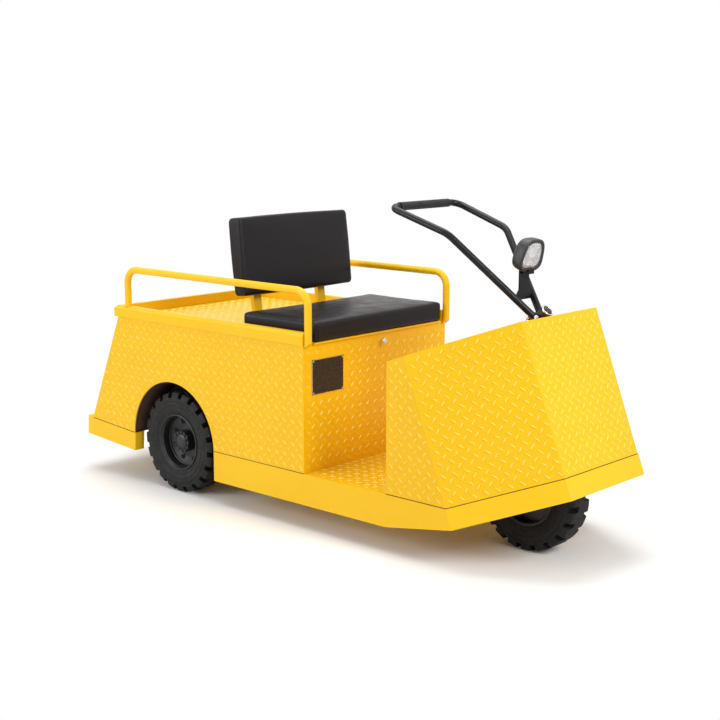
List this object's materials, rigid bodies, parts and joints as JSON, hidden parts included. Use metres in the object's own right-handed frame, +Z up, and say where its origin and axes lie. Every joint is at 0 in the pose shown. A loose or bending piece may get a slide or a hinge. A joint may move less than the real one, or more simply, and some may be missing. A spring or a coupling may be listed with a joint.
{
  "type": "airport baggage tug",
  "caption": "Low three-wheeled electric tow tractor with a tiller, a bench seat over the battery, a tread plate load deck and a drawbar jaw.",
  "frame": {"origin": "on the ground under the middle of the vehicle's bounding box", "axes": "+X forward, +Y to the driver's left, +Z up"},
  "size_m": [2.4736, 0.836, 1.2175],
  "materials": {
    "yellow_paint": "satin",
    "yellow_tread_plate": "satin, raised tread pattern",
    "black_paint": "semi-gloss",
    "black_leatherette": "soft sheen, fine grain",
    "black_rubber": "matte",
    "grip_rubber": "matte",
    "black_plastic": "fine texture",
    "clear_lens": "ribbed",
    "bright_metal": "polished",
    "black_plate": "satin, silver border"
  },
  "bodies": {
    "chassis": {"skirt_front": "yellow_paint", "skirt_rear": "yellow_paint", "floor_plate": "yellow_tread_plate", "toe_board": "yellow_tread_plate", "cowl": "yellow_tread_plate", "riser": "yellow_tread_plate", "side_panel_left": "yellow_tread_plate", "side_panel_right": "yellow_tread_plate", "rear_panel": "yellow_tread_plate", "coaming": "yellow_paint", "load_deck": "yellow_tread_plate", "cross_plate": "yellow_paint", "bulkhead": "yellow_paint", "frame_rail_left": "yellow_paint", "frame_rail_right": "yellow_paint", "rear_axle": "black_paint", "drive_motor": "black_paint", "battery": "black_plastic", "tow_hitch": "black_paint", "side_rail_left": "yellow_paint", "side_rail_right": "yellow_paint", "backrest_post_left": "yellow_paint", "backrest_post_right": "yellow_paint", "backrest_pad": "black_leatherette", "seat_hinges": "black_paint", "data_plate": "black_plate", "latch_knob": "bright_metal", "pedal": "black_paint", "steering_head": "black_paint"},
    "seat": {"seat_lid": "yellow_paint", "seat_cushion": "black_leatherette"},
    "steering": {"fork": "black_paint", "tiller": "black_paint", "grip": "grip_rubber", "lamp_bracket": "black_paint", "lamp_housing": "black_plastic", "lamp_lens": "clear_lens", "horn": "black_plastic"},
    "front_wheel": {"front_tyre": "black_rubber", "front_rim": "black_paint"},
    "rear_wheel_left": {"rear_tyre_left": "black_rubber", "rear_rim_left": "black_paint"},
    "rear_wheel_right": {"rear_tyre_right": "black_rubber", "rear_rim_right": "black_paint"}
  },
  "joints": [
    {"name": "steering_turn", "type": "hinge", "parent": "chassis", "child": "steering", "pos_m": [0.92424, 0, 0.6], "axis": [0, 0, 1], "range_deg": [-60, 60]},
    {"name": "front_wheel_spin", "type": "hinge", "parent": "steering", "child": "front_wheel", "pos_m": [0.92424, 0, 0.2075], "axis": [0, 1, 0], "continuous": true},
    {"name": "rear_wheel_left_spin", "type": "hinge", "parent": "chassis", "child": "rear_wheel_left", "pos_m": [-0.57276, 0.331, 0.2075], "axis": [0, 1, 0], "continuous": true},
    {"name": "rear_wheel_right_spin", "type": "hinge", "parent": "chassis", "child": "rear_wheel_right", "pos_m": [-0.57276, -0.331, 0.2075], "axis": [0, 1, 0], "continuous": true},
    {"name": "seat_lift", "type": "hinge", "parent": "chassis", "child": "seat", "pos_m": [-0.21176, 0, 0.7024], "axis": [0, -1, 0], "range_deg": [0, 50]}
  ]
}
